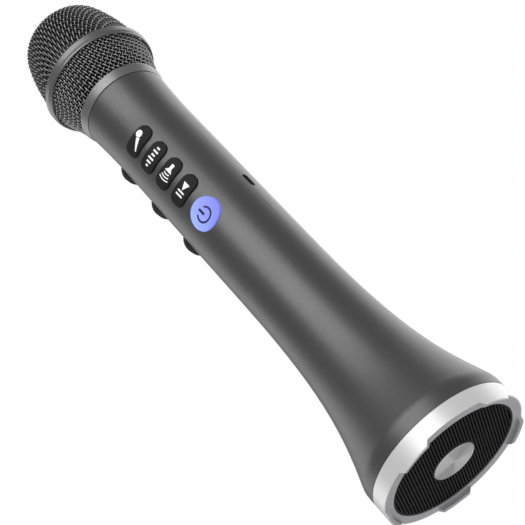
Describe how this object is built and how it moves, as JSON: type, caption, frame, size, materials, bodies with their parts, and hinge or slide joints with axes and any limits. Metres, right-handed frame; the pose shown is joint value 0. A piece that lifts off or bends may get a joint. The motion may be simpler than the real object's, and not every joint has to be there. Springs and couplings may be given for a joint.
{
  "type": "karaoke microphone",
  "caption": "Handheld karaoke microphone with a woven-mesh head, side thumbwheels, a column of keys and a loudspeaker in its flared base",
  "frame": {"origin": "centre of the base ring's lower end, where its tabs stand", "axes": "+Z along the microphone's axis towards the head, the keys face -Y, the thumbwheels are on the -X side and the charging port on the +X side"},
  "size_m": [0.062, 0.062, 0.2816],
  "materials": {
    "shell_paint": "satin, dark grey metallic",
    "collar_metal": "satin, lighter grey metallic",
    "band_metal": "satin gunmetal",
    "mesh_wire": "woven wire, dark nickel",
    "ring_metal": "satin silver plating",
    "badge_metal": "spun, radial sheen",
    "grille_black": "black, fine ribs",
    "key_black": "soft-touch black",
    "wheel_black": "black with knurled rim",
    "power_lens": "translucent, lit blue-violet",
    "icon_print": "printed",
    "icon_navy": "printed dark navy",
    "foam": "open-cell foam",
    "rubber_black": "matte",
    "structure_black": "moulded",
    "board_green": "solder mask",
    "chip_black": "moulded",
    "steel": "plated",
    "socket_steel": "dark plated",
    "magnet_ferrite": "dull ferrite and steel",
    "cone_paper": "coated paper",
    "coil_copper": "copper wire",
    "cell_wrap": "shrink wrap",
    "cloth_black": "fine dust cloth",
    "capsule_metal": "plain",
    "lead_black": "insulation",
    "led_white": "diffuse"
  },
  "bodies": {
    "handle": {"housing": "shell_paint", "base_ring": "ring_metal", "speaker_grille": "grille_black", "grille_badge": "badge_metal", "dust_cloth": "cloth_black", "neck_insert": "structure_black", "capsule_cradle": "rubber_black", "mic_capsule": "capsule_metal", "chassis": "structure_black", "chassis_screws": "steel", "main_board": "board_green", "board_chips": "chip_black", "tact_switches": "chip_black", "power_leds": "led_white", "wheel_pots": "chip_black", "wheel_board": "board_green", "port_board": "board_green", "charge_socket": "socket_steel", "battery_cell": "cell_wrap", "battery_tray": "structure_black", "battery_tabs": "steel", "bulkhead": "structure_black", "bulkhead_seal": "foam", "driver_frame": "structure_black", "driver_magnet": "magnet_ferrite", "voice_coil": "coil_copper", "speaker_cone": "cone_paper", "cone_surround": "rubber_black", "dust_cap": "cone_paper", "driver_screws": "steel", "speaker_baffle": "structure_black", "speaker_gasket": "foam", "capsule_lead": "lead_black", "battery_lead": "lead_black", "speaker_lead": "lead_black"},
    "neck_washer": {"neck_washer": "rubber_black"},
    "head": {"head_collar": "collar_metal", "mesh_cup": "mesh_wire", "head_band": "band_metal", "mesh_dome": "mesh_wire", "foam_liner": "foam"},
    "play_key": {"play_button": "key_black", "play_stem": "structure_black"},
    "volume_key": {"volume_button": "key_black", "volume_stem": "structure_black"},
    "mode_key": {"mode_button": "key_black", "mode_stem": "structure_black"},
    "vocal_key": {"vocal_button": "key_black", "vocal_stem": "structure_black"},
    "power_key": {"power_button": "power_lens", "power_stem": "structure_black"},
    "music_wheel": {"music_wheel": "wheel_black"},
    "echo_wheel": {"echo_wheel": "wheel_black"},
    "mic_wheel": {"mic_wheel": "wheel_black"}
  },
  "joints": [
    {"name": "play_press", "type": "slide", "parent": "handle", "child": "play_key", "axis": [0, 1, 0], "range_m": [0, 0.0006], "stiffness_N_per_m": 2500},
    {"name": "volume_press", "type": "slide", "parent": "handle", "child": "volume_key", "axis": [0, 1, 0], "range_m": [0, 0.0006], "stiffness_N_per_m": 2500},
    {"name": "mode_press", "type": "slide", "parent": "handle", "child": "mode_key", "axis": [0, 1, 0], "range_m": [0, 0.0006], "stiffness_N_per_m": 2500},
    {"name": "vocal_press", "type": "slide", "parent": "handle", "child": "vocal_key", "axis": [0, 1, 0], "range_m": [0, 0.0006], "stiffness_N_per_m": 2500},
    {"name": "power_press", "type": "slide", "parent": "handle", "child": "power_key", "axis": [0, 1, 0], "range_m": [0, 0.0006], "stiffness_N_per_m": 2500},
    {"name": "music_turn", "type": "hinge", "parent": "handle", "child": "music_wheel", "pos_m": [-0.0122, -0.0027, 0.1455], "axis": [-0.2164, 0.9763, 0], "range_deg": [-140, 140]},
    {"name": "echo_turn", "type": "hinge", "parent": "handle", "child": "echo_wheel", "pos_m": [-0.0122, -0.0027, 0.1697], "axis": [-0.2164, 0.9763, 0], "range_deg": [-140, 140]},
    {"name": "mic_turn", "type": "hinge", "parent": "handle", "child": "mic_wheel", "pos_m": [-0.0122, -0.0027, 0.1938], "axis": [-0.2164, 0.9763, 0], "range_deg": [-140, 140]},
    {"name": "head_lift", "type": "slide", "parent": "handle", "child": "neck_washer", "axis": [0, 0, 1], "range_m": [0, 0.0045]},
    {"name": "head_turn", "type": "hinge", "parent": "neck_washer", "child": "head", "pos_m": [0, 0, 0.2202], "axis": [0, 0, 1], "range_deg": [0, 1080]}
  ],
  "couplings": [
    {"joint": "head_lift", "follows": "head_turn", "m_per_rad": 0.00023871}
  ]
}
